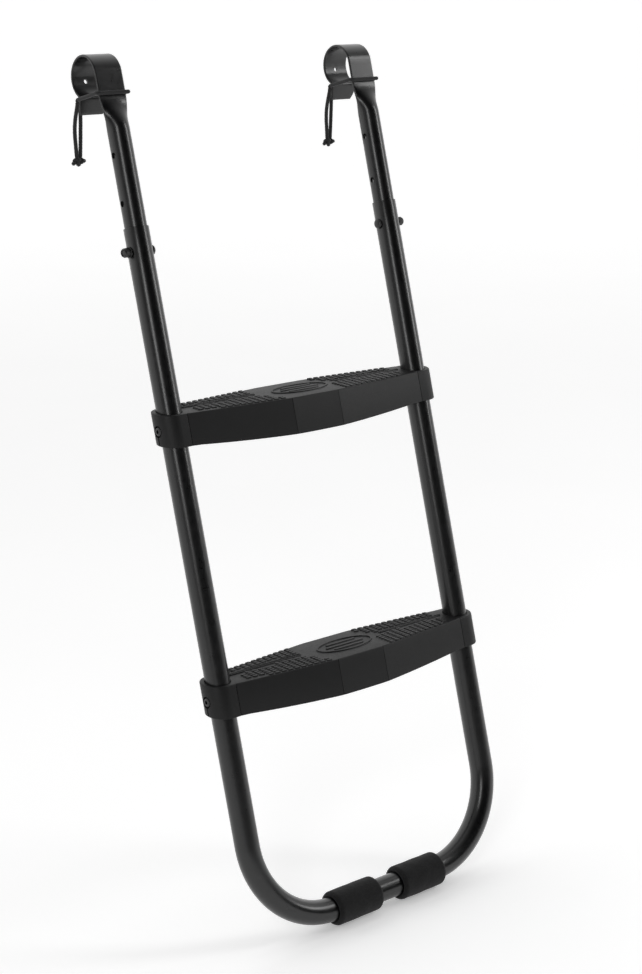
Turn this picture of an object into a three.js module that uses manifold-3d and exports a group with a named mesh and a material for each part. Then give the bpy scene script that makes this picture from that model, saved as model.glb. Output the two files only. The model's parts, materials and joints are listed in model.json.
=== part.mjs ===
// A two-step ladder for a garden trampoline, in millimetres, +Z up.
//
// The lower frame is one steel tube bent into a U. Two telescoping tubes slide into its legs, and
// each ends in a hook that hangs on the trampoline's frame tube. The origin is midway between the
// two hooks, on the axis of the tube that they hang on. X runs along that tube, from the left hook
// to the right one, and Y points to the rear, under the trampoline.
//
// The steps are level and the legs lean, so most pieces are drawn in the leg frame: x across the
// ladder, n square to the legs towards the rear, and s up the legs from the upper step's bolts.

import * as THREE from "three";
import { mergeVertices } from "three/addons/utils/BufferGeometryUtils.js";
import Module from "manifold-3d";

const wasm = await Module();
wasm.setup();

// ---- Driving dimensions ---------------------------------------------------------------------

const GAP = 0.3; // clearance between touching pieces
const LEAN = THREE.MathUtils.degToRad(16); // legs from the vertical, tops towards the rear
const LEG_SPACING = 361; // centre to centre
const HALF_SPACING = LEG_SPACING / 2;
const WALL = 1.2; // both tubes

const FRAME_TUBE = 14; // outer radius of the U
const FRAME_TOP = 222; // s of the U's open ends
const FRAME_BOTTOM = -569; // s of the bottom bar's axis
const BEND = 102; // radius of the U's bends, on the axis

const HOOK_TUBE = 12.5; // outer radius of the sliding tubes
const HOOK_TUBE_END = 118; // s of their lower ends, inside the legs
const SETTING_PITCH = 52.5; // between the height holes
const SETTING_BOLT = 196; // s of the height bolts
const HIGHER_SETTINGS = 2; // free holes above each height bolt

const RING_S = 391; // the hanging axis, up the legs from the upper step's bolts
const RING_N = 23.1; // and behind the leg axis
const RING_OUTER = 24.5; // outer radius of the hook's ring
const STRAP = 2.6; // two flattened walls of the tube
const STRAP_WIDTH = 35.4;
const RING_END = THREE.MathUtils.degToRad(-53); // where the ring stops, from the rear, down and under
const TAB_TIP = new THREE.Vector2(43, RING_S - 36.9); // n and s of the tab's lower end
const TAB_CHAMFER = new THREE.Vector2(5.4, 7); // on its right side only
const RING_HOLE = 2.4; // in the rear of the ring
const PRESS_S = RING_S - 64; // the round tube starts to flatten here
const NECK_S = RING_S - 27; // and is fully flat from here up

const STEP_PITCH = 300;
const STEP_TOP = 19; // above the step's bolts
const STEP_DEEPEST = 21; // below them, at the middle
const STEP_ENDS = 15.5; // below them, at the ends
const STEP_HALF_DEPTH = 33.2;
const STEP_CREASE_X = 34; // half the length of the straight middle stretch
const SLEEVE = 20; // outer radius of the sleeve round each leg
const STEP_WALL = 3;
const STEP_RIB = 2.4;
const STEP_SPINE_END = 16; // from the end of the hollow to the end of its long rib

const BOLT = 3; // radius of every shank
const BOLT_HOLE = BOLT + GAP;
// A head's dome is given by fractions of its radius and height.
const STEP_BOLT_HEAD = {
  radius: 5.2,
  height: 3.2,
  dome: [[1, 0.4], [0.85, 0.8], [0.55, 1]],
  key: 4,
  socket: 2,
};
const STEP_RECESS = { radius: 6.4, depth: 3.6 };
const HEIGHT_BOLT_HEAD = { radius: 5.8, height: 4, dome: [[1, 0.3], [0.8, 0.75], [0.45, 1]] };
const NUT = { flats: 10, height: 5, collar: 2, collarRadius: 4.4 };
const WASHER = { radius: 6.2, height: 1.3 };

const FOAM = { radius: 20, inner: 16.5, outer: 82, edge: 5 };

const CORD = 2.25; // radius of the elastic cord
const CORD_SIDES = 8;

const ROUND = 24; // sides of the tubes
const SMALL_ROUND = 16;
const HOLE_SIDES = 12;
const BEND_STEPS = 10;
const FLATTEN_ROWS = 8;

const PAST = 2; // how far a cutter runs on past the faces it opens
const FAR = 60; // half the size of a cutter that runs right through a step

// ---- Materials ------------------------------------------------------------------------------

const material = (color, roughness, metalness) =>
  new THREE.MeshStandardMaterial({ color, roughness, metalness });

const blackSteel = material(0x1b1c1e, 0.38, 0.35);
const blackPlastic = material(0x232425, 0.6, 0);
const blackFoam = material(0x17181a, 0.95, 0);
const elastic = material(0x1a1a1c, 0.85, 0);
const blackBolt = material(0x202123, 0.35, 0.6);
const zinc = material(0xa9acae, 0.35, 0.9);

// ---- Solids ---------------------------------------------------------------------------------

// A closed three.js geometry as a manifold solid.
function solid(geometry) {
  const bare = geometry.clone();
  bare.deleteAttribute("normal");
  bare.deleteAttribute("uv");
  const merged = mergeVertices(bare, 1e-4);
  return new wasm.Manifold(
    new wasm.Mesh({
      numProp: 3,
      vertProperties: new Float32Array(merged.attributes.position.array),
      triVerts: new Uint32Array(merged.index.array),
    }),
  );
}

// A manifold solid as a three.js geometry.
function geometryOf(made) {
  const mesh = made.getMesh();
  return new THREE.BufferGeometry()
    .setAttribute("position", new THREE.BufferAttribute(mesh.vertProperties, 3))
    .setIndex(new THREE.BufferAttribute(mesh.triVerts, 1));
}

function meshOf(name, made, finish) {
  const geometry = geometryOf(made).toNonIndexed();
  geometry.computeVertexNormals();
  const mesh = new THREE.Mesh(geometry, finish);
  mesh.name = name;
  return mesh;
}

// A lathe profile of [radius, height] points turned about +X, with height along x.
function turnedX(profile, sides = SMALL_ROUND) {
  const points = profile.map(([radius, height]) => new THREE.Vector2(radius, height));
  return new THREE.LatheGeometry(points, sides).rotateZ(-Math.PI / 2);
}

// A round bar along x.
const rodX = (radius, from, to, sides = SMALL_ROUND) =>
  turnedX([[0, from], [radius, from], [radius, to], [0, to]], sides);

const box = (x0, x1, y0, y1, z0, z1) =>
  new THREE.BoxGeometry(x1 - x0, y1 - y0, z1 - z0).translate(
    (x0 + x1) / 2,
    (y0 + y1) / 2,
    (z0 + z1) / 2,
  );

// A shape drawn in (n, s) and extruded along x, centred on x = 0.
function alongX(shape, width, curveSegments = 12) {
  const drawn = new THREE.ExtrudeGeometry(shape, {
    depth: width,
    bevelEnabled: false,
    curveSegments,
  });
  const axes = new THREE.Matrix4().makeBasis(
    new THREE.Vector3(0, 1, 0),
    new THREE.Vector3(0, 0, 1),
    new THREE.Vector3(1, 0, 0),
  );
  return drawn.translate(0, 0, -width / 2).applyMatrix4(axes);
}

// A path given by its stations: one section stands at each of them.
class Stations extends THREE.Curve {
  constructor(points) {
    super();
    this.points = points;
  }

  getPointAt(u) {
    return this.points[Math.round(u * (this.points.length - 1))].clone();
  }

  getTangentAt(u) {
    const i = Math.round(u * (this.points.length - 1));
    const before = this.points[Math.max(i - 1, 0)];
    const after = this.points[Math.min(i + 1, this.points.length - 1)];
    const here = this.points[i];
    const arriving = here.clone().sub(before).normalize();
    const leaving = after.clone().sub(here).normalize();
    return arriving.add(leaving).normalize();
  }
}

function sweep(shape, points, curveSegments) {
  return new THREE.ExtrudeGeometry(shape, {
    steps: points.length - 1,
    extrudePath: new Stations(points),
    bevelEnabled: false,
    curveSegments,
  });
}

function disc(radius) {
  return new THREE.Shape().absarc(0, 0, radius, 0, 2 * Math.PI);
}

function ring(outer, inner) {
  const shape = disc(outer);
  shape.holes.push(new THREE.Path().absarc(0, 0, inner, 0, 2 * Math.PI, true));
  return shape;
}

// ---- Lower frame ----------------------------------------------------------------------------

function lowerFrame() {
  const bendFoot = FRAME_BOTTOM + BEND;
  const bendX = HALF_SPACING - BEND;
  const left = [new THREE.Vector3(-HALF_SPACING, 0, FRAME_TOP)];
  for (let i = 0; i <= BEND_STEPS; i++) {
    const a = (i / BEND_STEPS) * (Math.PI / 2);
    left.push(
      new THREE.Vector3(-bendX - BEND * Math.cos(a), 0, bendFoot - BEND * Math.sin(a)),
    );
  }
  const right = left.map((p) => new THREE.Vector3(-p.x, 0, p.z)).reverse();
  const tube = sweep(ring(FRAME_TUBE, FRAME_TUBE - WALL), [...left, ...right], ROUND / 2);
  let made = solid(tube);
  for (const side of [-1, 1])
    for (const s of [0, -STEP_PITCH, SETTING_BOLT]) {
      const drill = rodX(BOLT_HOLE, -FRAME_TUBE - PAST, FRAME_TUBE + PAST, HOLE_SIDES);
      made = made.subtract(solid(drill.translate(side * HALF_SPACING, 0, s)));
    }
  return made;
}

// ---- Hook tubes -----------------------------------------------------------------------------

// The tube's outside from its lower end to the neck, round below and flat at the top.
function pressedTube() {
  const rows = FLATTEN_ROWS + 1;
  const body = new THREE.CylinderGeometry(1, 1, 1, ROUND, rows).rotateX(Math.PI / 2);
  const position = body.attributes.position;
  const strapMiddle = RING_N - RING_OUTER + STRAP / 2;
  const edge = 4; // how steeply the flat section closes at its two edges
  for (let i = 0; i < position.count; i++) {
    const x = position.getX(i);
    const n = position.getY(i);
    const row = Math.round((position.getZ(i) + 0.5) * rows);
    const up = (row - 1) / FLATTEN_ROWS;
    const s = row === 0 ? HOOK_TUBE_END : THREE.MathUtils.lerp(PRESS_S, NECK_S + 1, up);
    const closed = THREE.MathUtils.smoothstep(s, PRESS_S, NECK_S);
    const flatN = strapMiddle + (STRAP / 2) * Math.sign(n) * Math.min(1, Math.abs(n) * edge);
    position.setXYZ(
      i,
      x * THREE.MathUtils.lerp(HOOK_TUBE, STRAP_WIDTH / 2, closed),
      THREE.MathUtils.lerp(HOOK_TUBE * n, flatN, closed),
      s,
    );
  }
  return body;
}

// The strap's side view: up the front, over the top, down the rear and out into the tab.
function strapShape() {
  const inner = RING_OUTER - STRAP;
  const front = RING_N - RING_OUTER;
  const turn = RING_END;
  const at = (radius) =>
    new THREE.Vector2(RING_N + radius * Math.cos(turn), RING_S + radius * Math.sin(turn));
  const along = TAB_TIP.clone().sub(at(RING_OUTER)).normalize();
  const across = new THREE.Vector2(along.y, -along.x).multiplyScalar(STRAP);
  const shape = new THREE.Shape();
  shape.moveTo(front, NECK_S - PAST);
  shape.lineTo(front, RING_S);
  shape.absarc(RING_N, RING_S, RING_OUTER, Math.PI, turn, true);
  shape.lineTo(TAB_TIP.x, TAB_TIP.y);
  shape.lineTo(TAB_TIP.x + across.x, TAB_TIP.y + across.y);
  shape.lineTo(at(RING_OUTER).x + across.x, at(RING_OUTER).y + across.y - STRAP / 2);
  shape.lineTo(at(inner).x, at(inner).y);
  shape.absarc(RING_N, RING_S, inner, turn, Math.PI, false);
  shape.lineTo(front + STRAP, NECK_S - PAST);
  shape.closePath();
  return shape;
}

// A wedge that takes the right lower corner off the tab.
function tabCorner() {
  const half = STRAP_WIDTH / 2;
  const below = TAB_TIP.y - PAST - 1;
  const corner = new THREE.Shape();
  corner.moveTo(half - TAB_CHAMFER.x, below);
  corner.lineTo(half - TAB_CHAMFER.x, TAB_TIP.y);
  corner.lineTo(half, TAB_TIP.y + TAB_CHAMFER.y);
  corner.lineTo(half + PAST, TAB_TIP.y + TAB_CHAMFER.y);
  corner.lineTo(half + PAST, below);
  corner.closePath();
  const reach = RING_OUTER;
  return new THREE.ExtrudeGeometry(corner, { depth: reach, bevelEnabled: false })
    .rotateX(Math.PI / 2)
    .translate(0, RING_N + reach, 0);
}

function hookTube() {
  const boreRadius = HOOK_TUBE - WALL;
  const boreFrom = HOOK_TUBE_END - PAST;
  const boreTo = PRESS_S - PAST;
  const bore = new THREE.CylinderGeometry(boreRadius, boreRadius, boreTo - boreFrom, ROUND)
    .rotateX(Math.PI / 2)
    .translate(0, 0, (boreFrom + boreTo) / 2);
  let made = solid(pressedTube())
    .add(solid(alongX(strapShape(), STRAP_WIDTH)))
    .subtract(solid(bore))
    .subtract(solid(tabCorner()));
  for (let i = 0; i <= HIGHER_SETTINGS; i++) {
    const drill = rodX(BOLT_HOLE, -HOOK_TUBE - PAST, HOOK_TUBE + PAST, HOLE_SIDES);
    made = made.subtract(solid(drill.translate(0, 0, SETTING_BOLT + i * SETTING_PITCH)));
  }
  const ringHole = rodX(RING_HOLE, -STRAP - PAST, STRAP + PAST, HOLE_SIDES)
    .rotateZ(Math.PI / 2)
    .translate(0, RING_N + RING_OUTER, RING_S);
  return made.subtract(solid(ringHole));
}

// ---- Steps ----------------------------------------------------------------------------------

// The step's plan: two sleeves joined by a long hexagon, set in by the given amount.
function stepPlan(inset) {
  const radius = SLEEVE - inset;
  const depth = STEP_HALF_DEPTH - inset;
  const shape = new THREE.Shape();
  shape.moveTo(-HALF_SPACING, radius);
  shape.absarc(-HALF_SPACING, 0, radius, Math.PI / 2, 1.5 * Math.PI, false);
  shape.lineTo(-HALF_SPACING + SLEEVE / 2, -radius);
  shape.lineTo(-STEP_CREASE_X, -depth);
  shape.lineTo(STEP_CREASE_X, -depth);
  shape.lineTo(HALF_SPACING - SLEEVE / 2, -radius);
  shape.absarc(HALF_SPACING, 0, radius, -Math.PI / 2, Math.PI / 2, false);
  shape.lineTo(HALF_SPACING - SLEEVE / 2, radius);
  shape.lineTo(STEP_CREASE_X, depth);
  shape.lineTo(-STEP_CREASE_X, depth);
  shape.lineTo(-HALF_SPACING + SLEEVE / 2, radius);
  shape.closePath();
  return shape;
}

// A plan extruded from z0 to z1, its walls parallel to the leaning legs.
function leaningWalls(shape, z0, z1) {
  const drawn = new THREE.ExtrudeGeometry(shape, {
    depth: z1 - z0,
    bevelEnabled: false,
    curveSegments: 12,
  });
  const shear = new THREE.Matrix4().makeShear(0, 0, 0, 0, 0, Math.tan(LEAN));
  return drawn.translate(0, 0, z0).applyMatrix4(shear);
}

// The step's front view: level top, and an underside that bows down to the middle.
function stepFrontView() {
  const end = HALF_SPACING + SLEEVE + 1;
  const shape = new THREE.Shape();
  shape.moveTo(-end, -STEP_ENDS);
  shape.lineTo(-HALF_SPACING + SLEEVE, -STEP_ENDS);
  shape.quadraticCurveTo(
    0,
    -2 * STEP_DEEPEST + STEP_ENDS,
    HALF_SPACING - SLEEVE,
    -STEP_ENDS,
  );
  shape.lineTo(end, -STEP_ENDS);
  shape.lineTo(end, STEP_TOP);
  shape.lineTo(-end, STEP_TOP);
  shape.closePath();
  return new THREE.ExtrudeGeometry(shape, {
    depth: 2 * FAR,
    bevelEnabled: false,
    curveSegments: 12,
  })
    .rotateX(Math.PI / 2)
    .translate(0, FAR, 0);
}

// A cylinder round a leg, in the step's level frame.
function legRod(side, radius, sides) {
  return new THREE.CylinderGeometry(radius, radius, 2 * FAR, sides)
    .rotateX(Math.PI / 2 - LEAN)
    .translate(side * HALF_SPACING, 0, 0);
}

// The hollow under the top, between the sleeves and divided by ribs.
function stepHollow() {
  const end = HALF_SPACING - SLEEVE - 1;
  let hollow = solid(leaningWalls(stepPlan(STEP_WALL), -FAR, FAR))
    .intersect(solid(box(-end, end, -FAR, FAR, -FAR, STEP_TOP - STEP_WALL)));
  const half = STEP_RIB / 2;
  for (const x of [-2, -1, 1, 2].map((i) => i * STEP_CREASE_X))
    hollow = hollow.subtract(solid(box(x - half, x + half, -FAR, FAR, -FAR, FAR)));
  const spineEnd = end - STEP_SPINE_END;
  const spine = new THREE.Shape();
  spine.moveTo(-spineEnd, -half);
  spine.lineTo(spineEnd, -half);
  spine.lineTo(spineEnd, half);
  spine.lineTo(-spineEnd, half);
  spine.closePath();
  return hollow.subtract(solid(leaningWalls(spine, -FAR - 1, FAR + 1)));
}

function step() {
  let made = solid(leaningWalls(stepPlan(0), -FAR, STEP_TOP))
    .intersect(solid(stepFrontView()))
    .subtract(stepHollow());
  const holeReach = SLEEVE + 8; // through the sleeve and the wall of the hollow behind it
  for (const side of [-1, 1]) {
    const outside = side * (HALF_SPACING + SLEEVE);
    const recess = rodX(STEP_RECESS.radius, -STEP_RECESS.depth, STEP_RECESS.depth);
    const hole = rodX(BOLT_HOLE, -holeReach, holeReach, HOLE_SIDES);
    made = made
      .subtract(solid(legRod(side, FRAME_TUBE + GAP, ROUND)))
      .subtract(solid(recess.translate(outside, 0, 0)))
      .subtract(solid(hole.translate(side * HALF_SPACING, 0, 0)));
  }
  return made;
}

// ---- Fasteners, drawn about x = 0 with the head towards +x -----------------------------------

function hexagon(flats) {
  const shape = new THREE.Shape();
  for (let i = 0; i < 6; i++) {
    const a = (i / 6) * 2 * Math.PI;
    const corner = new THREE.Vector2(Math.cos(a), Math.sin(a)).multiplyScalar(flats / Math.sqrt(3));
    if (i === 0) shape.moveTo(corner.x, corner.y);
    else shape.lineTo(corner.x, corner.y);
  }
  shape.closePath();
  return shape;
}

// A domed head on a shank from the seat down to x = tip.
function domedBolt({ radius, height, dome }, seat, tip) {
  return solid(
    turnedX([
      [0, tip],
      [BOLT, tip],
      [BOLT, seat],
      [radius, seat],
      ...dome.map(([across, up]) => [radius * across, seat + height * up]),
      [0, seat + height],
    ]),
  );
}

// The same with a hexagon socket in the head.
function stepBolt(seat, tip) {
  const { height, key, socket } = STEP_BOLT_HEAD;
  const hollow = alongX(hexagon(key), 2 * socket).translate(seat + height, 0, 0);
  return domedBolt(STEP_BOLT_HEAD, seat, tip).subtract(solid(hollow));
}

function washer(seat) {
  const turned = turnedX([
    [BOLT_HOLE, seat],
    [WASHER.radius, seat],
    [WASHER.radius, seat + WASHER.height],
    [BOLT_HOLE, seat + WASHER.height],
    [BOLT_HOLE, seat],
  ]);
  return solid(turned);
}

// A lock nut with a round collar, its hexagon against the seat.
function nut(seat, bore) {
  const { flats, height, collar, collarRadius } = NUT;
  const end = seat + height + collar;
  const hexagonal = alongX(hexagon(flats), height).translate(seat + height / 2, 0, 0);
  const made = solid(hexagonal).add(solid(rodX(collarRadius, end - collar - 1, end)));
  return bore ? made.subtract(solid(rodX(bore, seat - PAST, end + PAST))) : made;
}

// The far end of a height bolt: a nut on the stretch of shank that crosses the frame tube's wall.
function heightNut(seat, tip) {
  return nut(seat, 0).add(solid(rodX(BOLT, tip, seat + 1)));
}

// ---- Soft pieces ----------------------------------------------------------------------------

function foamSleeve() {
  const { radius, inner, outer, edge } = FOAM;
  const bore = FRAME_TUBE + GAP;
  const rounded = [0, 1, 2, 3].map((i) => (i / 3) * (Math.PI / 2));
  const profile = [
    [bore, inner],
    ...rounded.map((a) => [radius - edge + edge * Math.sin(a), inner + edge - edge * Math.cos(a)]),
    ...rounded.map((a) => [radius - edge + edge * Math.cos(a), outer - edge + edge * Math.sin(a)]),
    [bore, outer],
    [bore, inner],
  ];
  return solid(turnedX(profile, ROUND));
}

// The elastic cord is one length, tied round the hook's neck. Its route starts where the first
// strand leaves the tab's left corner, runs forward, across the front of the strap, back along the
// right side and behind the tab, and ends at the left corner again. Points are x, y and z from the
// middle of the hook's ring.
const CORD_HELD = [
  [-20.3, 7.4, -23.7],
  [-20.3, -2, -21.6],
  [-20.3, -15, -18.3],
  [-20.3, -26, -15.4],
  [-20.3, -29.4, -14.6],
  [-19.9, -31, -14.5],
  [-18.9, -32, -14.4],
  [-17.4, -32.4, -14.4],
  [-9, -32.4, -14.4],
  [0, -32.4, -14.4],
  [9, -32.4, -14.4],
  [17.4, -32.4, -14.4],
  [18.9, -32, -14.4],
  [19.9, -31, -14.5],
  [20.3, -29.4, -14.6],
  [20.3, -26, -15.4],
  [20.3, -15, -18.3],
  [20.3, -2, -21.6],
  [20.3, 7.5, -23.7],
  [19.8, 9.9, -24.3],
  [18.4, 11.2, -24.6],
  [16.7, 11.6, -24.7],
  [8, 11.6, -24.7],
  [-1, 11.6, -24.7],
  [-9.2, 11.6, -24.7],
];

// The two strands that hang from the tab's left corner to the knot.
const CORD_TAILS = {
  a: [
    [-20.5, 8, -26.4],
    [-20.5, 8, -27.4],
    [-20.8, 8.1, -31],
    [-21.7, 8.7, -37],
    [-22.5, 9.9, -45],
    [-22.6, 11.3, -54],
    [-22, 12.2, -64],
    [-21, 12.5, -75],
    [-20.2, 12.5, -87],
  ],
  b: [
    [-9.6, 11.6, -24.7],
    [-10.5, 11.6, -24.7],
    [-12.2, 11.8, -25.6],
    [-13.4, 12.1, -27.8],
    [-14, 12.4, -32],
    [-14, 12.5, -38],
    [-14, 12.6, -48],
    [-14.4, 12.6, -60],
    [-15, 12.5, -74],
    [-15.6, 12.5, -87],
  ],
};
const CORD_KNOT = { x: -18, y: 12.5, z: -92, width: 15.5, depth: 9.5, height: 9.6 };

function cordAlong(route) {
  const points = route.map((p) => new THREE.Vector3(...p));
  return solid(sweep(disc(CORD), points, CORD_SIDES / 2));
}

function knot() {
  const { x, y, z, width, depth, height } = CORD_KNOT;
  return solid(
    new THREE.SphereGeometry(0.5, HOLE_SIDES, CORD_SIDES).scale(width, depth, height).translate(x, y, z),
  );
}

// ---- Assembly -------------------------------------------------------------------------------

const ladder = new THREE.Group();

const legFrame = new THREE.Group();
legFrame.rotation.x = -LEAN;
legFrame.position
  .set(0, RING_N, RING_S)
  .applyAxisAngle(new THREE.Vector3(1, 0, 0), -LEAN)
  .negate();
ladder.add(legFrame);

// The height of s above the upper step's bolts, as a point of the ladder's own frame.
const onLegs = (x, s) =>
  new THREE.Vector3(x, 0, s).applyEuler(legFrame.rotation).add(legFrame.position);

legFrame.add(meshOf("lower_frame", lowerFrame(), blackSteel));

const headSeat = SLEEVE - STEP_RECESS.depth;
const nutSeat = SLEEVE + 1 + GAP;

for (const [level, s] of [["upper", 0], ["lower", -STEP_PITCH]]) {
  const stepMesh = meshOf(`${level}_step`, step(), blackPlastic);
  stepMesh.position.copy(onLegs(0, s));
  ladder.add(stepMesh);
  for (const [hand, side] of [["left", -1], ["right", 1]]) {
    const fasteners = new THREE.Group();
    fasteners.position.set(side * HALF_SPACING, 0, s);
    if (side < 0) fasteners.rotation.z = Math.PI;
    const bolt = stepBolt(headSeat + GAP, -nutSeat - NUT.height - NUT.collar);
    const nutMesh = meshOf(`${level}_step_${hand}_nut`, nut(nutSeat, BOLT_HOLE), zinc);
    nutMesh.rotation.z = Math.PI;
    fasteners.add(meshOf(`${level}_step_${hand}_bolt`, bolt, blackBolt), nutMesh);
    legFrame.add(fasteners);
  }
}

for (const [hand, side] of [["left", -1], ["right", 1]]) {
  const hookBody = meshOf(`${hand}_hook_tube`, hookTube(), blackSteel);
  hookBody.position.x = side * HALF_SPACING;
  legFrame.add(hookBody);

  const fasteners = new THREE.Group();
  fasteners.position.set(side * HALF_SPACING, 0, SETTING_BOLT);
  if (side < 0) fasteners.rotation.z = Math.PI;
  const wallInside = FRAME_TUBE - WALL;
  const boltMesh = meshOf(
    `${hand}_height_bolt`,
    domedBolt(HEIGHT_BOLT_HEAD, FRAME_TUBE + GAP, wallInside),
    blackBolt,
  );
  boltMesh.rotation.z = Math.PI;
  const nutFace = FRAME_TUBE + WASHER.height + 2 * GAP;
  fasteners.add(
    boltMesh,
    meshOf(`${hand}_height_washer`, washer(FRAME_TUBE + GAP), blackBolt),
    meshOf(`${hand}_height_nut`, heightNut(nutFace, wallInside), blackBolt),
  );
  legFrame.add(fasteners);

  const foam = meshOf(`${hand}_foam_sleeve`, foamSleeve(), blackFoam);
  foam.position.z = FRAME_BOTTOM;
  if (side < 0) foam.rotation.z = Math.PI;
  legFrame.add(foam);

  const cord = new THREE.Group();
  cord.position.x = side * HALF_SPACING;
  cord.add(
    meshOf(`${hand}_hook_cord`, cordAlong(CORD_HELD), elastic),
    meshOf(`${hand}_cord_tail_a`, cordAlong(CORD_TAILS.a), elastic),
    meshOf(`${hand}_cord_tail_b`, cordAlong(CORD_TAILS.b), elastic),
    meshOf(`${hand}_cord_knot`, knot(), elastic),
  );
  ladder.add(cord);
}

export default ladder;
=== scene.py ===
import json
import math

import bmesh
import bpy
from mathutils import Matrix, Vector, noise
from mathutils.geometry import delaunay_2d_cdt


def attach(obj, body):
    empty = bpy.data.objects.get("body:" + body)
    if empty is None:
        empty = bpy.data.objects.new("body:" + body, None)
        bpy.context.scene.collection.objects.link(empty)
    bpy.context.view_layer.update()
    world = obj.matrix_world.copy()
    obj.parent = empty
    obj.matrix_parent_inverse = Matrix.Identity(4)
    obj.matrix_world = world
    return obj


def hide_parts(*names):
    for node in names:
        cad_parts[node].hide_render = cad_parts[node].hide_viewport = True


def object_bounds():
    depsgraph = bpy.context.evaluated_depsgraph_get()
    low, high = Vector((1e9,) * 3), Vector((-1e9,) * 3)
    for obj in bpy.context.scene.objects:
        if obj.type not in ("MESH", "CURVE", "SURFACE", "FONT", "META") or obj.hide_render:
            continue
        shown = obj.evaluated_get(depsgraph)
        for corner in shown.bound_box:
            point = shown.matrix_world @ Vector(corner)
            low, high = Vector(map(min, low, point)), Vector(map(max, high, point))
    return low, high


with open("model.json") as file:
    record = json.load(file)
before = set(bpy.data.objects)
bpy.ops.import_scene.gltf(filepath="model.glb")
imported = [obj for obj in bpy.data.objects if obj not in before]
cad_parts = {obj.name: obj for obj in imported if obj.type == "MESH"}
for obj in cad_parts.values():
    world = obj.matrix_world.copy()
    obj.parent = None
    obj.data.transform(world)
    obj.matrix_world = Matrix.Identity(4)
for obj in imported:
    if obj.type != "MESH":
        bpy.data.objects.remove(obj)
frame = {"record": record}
cad_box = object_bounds()

# ---- Dimensions, in millimetres, as in the CAD source ------------------------------------------

MM = 0.001
AXIS = frame["record"]["behaviour"]["joints"][0]["axis"]
LEAN = math.atan2(AXIS[1], AXIS[2])
HALF_SPACING = 180.5
FRAME_TUBE, WALL = 14, 1.2
FRAME_TOP, FRAME_BOTTOM, BEND = 222, -569, 102
HOOK_TUBE, HOOK_TUBE_END = 12.5, 118
SETTING_BOLT, SETTING_PITCH = 196, 52.5
RING_N, RING_S, RING_OUTER = 23.1, 391, 24.5
PRESS_S, NECK_S = RING_S - 64, RING_S - 27
STRAP, STRAP_HALF = 2.6, 17.7
TAB_TIP = (43, RING_S - 36.9)
TAB_CHAMFER = (5.4, 7)
STEP_S = {"upper": 0, "lower": -300}
STEP_TOP, STEP_DEEPEST, STEP_ENDS = 19, 21, 15.5
STEP_HALF_DEPTH, STEP_CREASE_X, SLEEVE = 33.2, 34, 20
STEP_WALL, STEP_RIB = 3, 2.4
BOLT, RING_HOLE = 3, 2.4
RECESS_DEPTH, RECESS_RADIUS, RECESS_MOUTH, GAP = 3.6, 6.4, 6.9, 0.3
WASHER_THICK, NUT_HEIGHT = 1.3, 7
FOAM = {"radius": 20, "inner": 16.5, "outer": 82, "edge": 5}
CORD = 2.25
SIDES = {"left": -1, "right": 1}

# Leg frame (x across, n to the rear, s up the legs) to the part's frame, in metres.
LEG = (
    Matrix.Scale(MM, 4)
    @ Matrix.Rotation(-LEAN, 4, "X")
    @ Matrix.Translation((0, -RING_N, -RING_S))
)


def level_at(s):
    """Level millimetre frame midway between the legs' axes at height s."""
    return Matrix.Translation(LEG @ Vector((0, 0, s))) @ Matrix.Scale(MM, 4)


HALF_TURN = Matrix.Rotation(math.pi, 4, "Z")


def leg_place(side, s):
    """Millimetre frame on a leg's axis at height s, its +x facing away from the other leg."""
    matrix = LEG @ Matrix.Translation((side * HALF_SPACING, 0, s))
    return matrix if side > 0 else matrix @ HALF_TURN


def add_object(name, data):
    """Puts a new object into the scene."""
    made = bpy.data.objects.new(name, data)
    bpy.context.scene.collection.objects.link(made)
    return made


# ---- Camera -------------------------------------------------------------------------------------

CAMERA_AT = Vector((-1.4044, -1.8197, 0.1471))
CAMERA_FORWARD = Vector((0.6240, 0.7337, -0.2689))
CAMERA_ROLL = math.radians(0.34)

camera_data = bpy.data.cameras.new("camera")
camera_data.sensor_width = 36
camera_data.lens = 72.7
camera_data.clip_end = 200
camera = add_object("camera", camera_data)
camera.location = CAMERA_AT
camera.rotation_mode = "QUATERNION"
camera.rotation_quaternion = (
    CAMERA_FORWARD.to_track_quat("-Z", "Y") @ Matrix.Rotation(CAMERA_ROLL, 3, "Z").to_quaternion()
)
bpy.context.scene.camera = camera
bpy.context.scene.view_settings.view_transform = "Standard"

# ---- Materials ----------------------------------------------------------------------------------


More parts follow.
